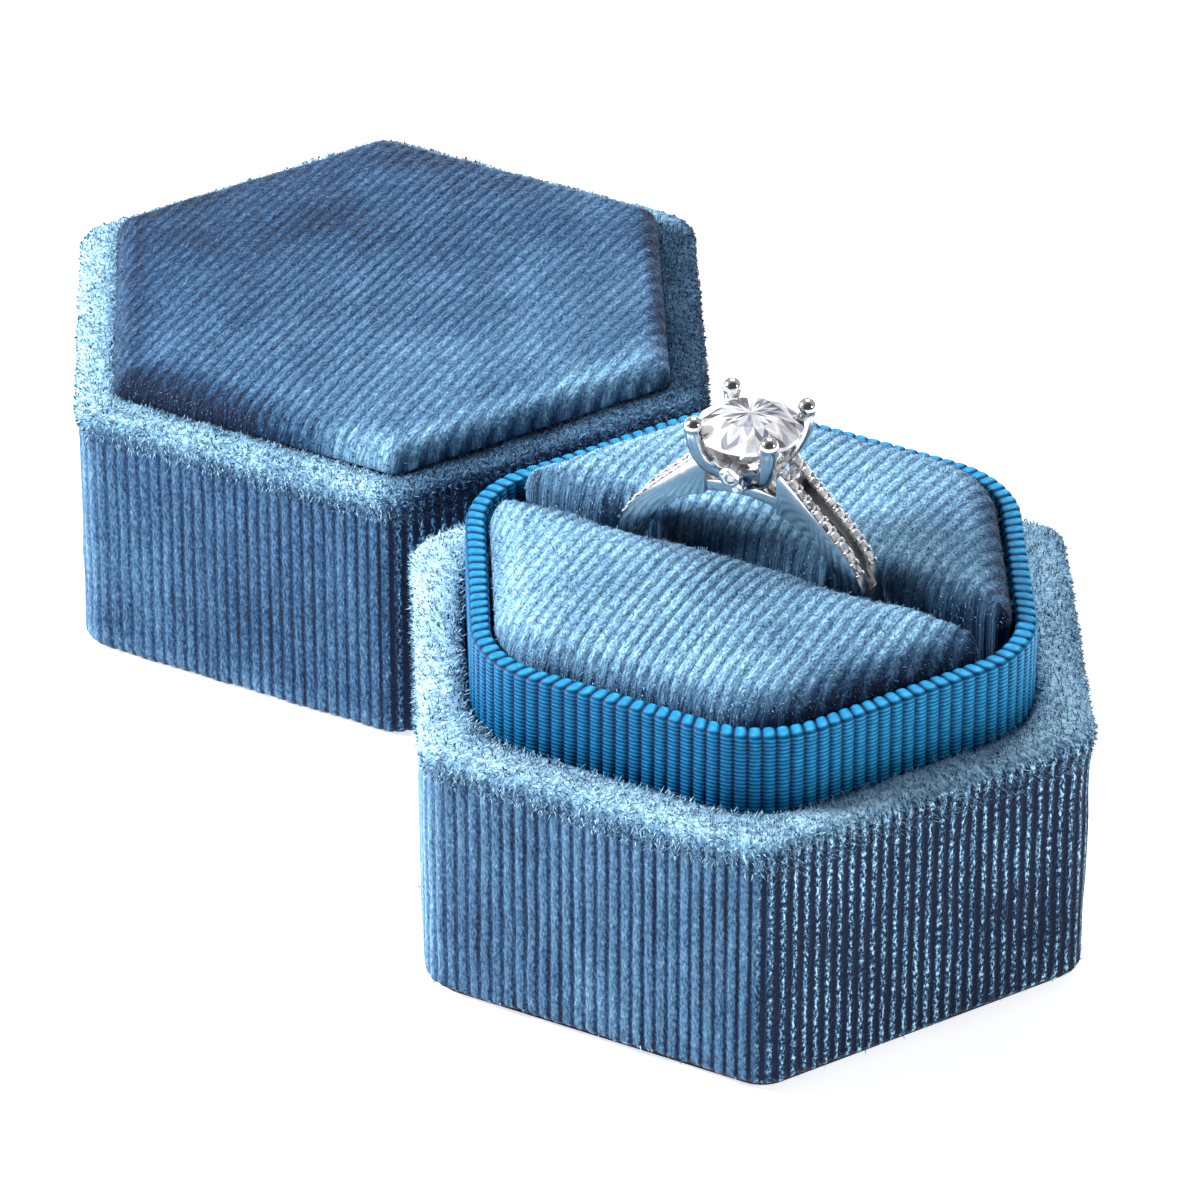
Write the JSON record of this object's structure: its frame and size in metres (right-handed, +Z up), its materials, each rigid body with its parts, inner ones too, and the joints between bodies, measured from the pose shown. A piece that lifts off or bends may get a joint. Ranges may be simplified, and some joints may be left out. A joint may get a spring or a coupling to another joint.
{
  "type": "ring box",
  "caption": "Hexagonal velvet ring box with a lift-off padded lid, a ribbon-covered collar, slotted cushions and a ring with a prong-set stone.",
  "frame": {"origin": "centre of the underside of the base, on the table", "axes": "+X along the ring slot, from corner to corner of the hexagon; +Z up; the flat front wall faces -Y"},
  "size_m": [0.0934, 0.0711, 0.0382],
  "materials": {
    "velvet": "ribbed velvet with short pile, steel blue to navy with the light",
    "velvet_pale": "ribbed velvet with the pile brushed upright, paler dusty blue",
    "ribbon": "ribbed grosgrain ribbon with a soft satin sheen",
    "felt": "thin matt felt",
    "board": "matt grey board",
    "foam": "soft open foam",
    "lining_paper": "matt coloured paper",
    "white_metal": "polished white gold",
    "stone": "clear, brilliant cut"
  },
  "bodies": {
    "base": {"base_underside_cover": "felt", "base_bottom_board": "board", "base_wall_frame": "board", "base_velvet_wrap": "velvet", "collar_board": "board", "collar_ribbon": "ribbon", "cushion_floor_block": "foam", "cushion_front_card": "board", "cushion_back_card": "board", "cushion_front_foam": "foam", "cushion_back_foam": "foam", "cushion_front_velvet": "velvet_pale", "cushion_back_velvet": "velvet_pale"},
    "lid": {"lid_wall_frame": "board", "lid_top_board": "board", "lid_velvet_wrap": "velvet", "lid_wall_lining": "lining_paper", "lid_ceiling_lining": "lining_paper", "lid_pad_card": "board", "lid_pad_foam": "foam", "lid_pad_velvet": "velvet_pale"},
    "ring": {"ring_shank": "white_metal", "ring_head": "white_metal", "ring_center_stone": "stone", "ring_bezel_stones": "stone", "ring_pave_stones": "stone", "ring_shoulder_stones": "stone"}
  },
  "joints": [
    {"name": "lid_lift", "type": "slide", "parent": "base", "child": "lid", "axis": [0, 0, 1], "range_m": [0, 0.042]},
    {"name": "ring_lift", "type": "slide", "parent": "base", "child": "ring", "axis": [0, 0, 1], "range_m": [0, 0.015]}
  ]
}
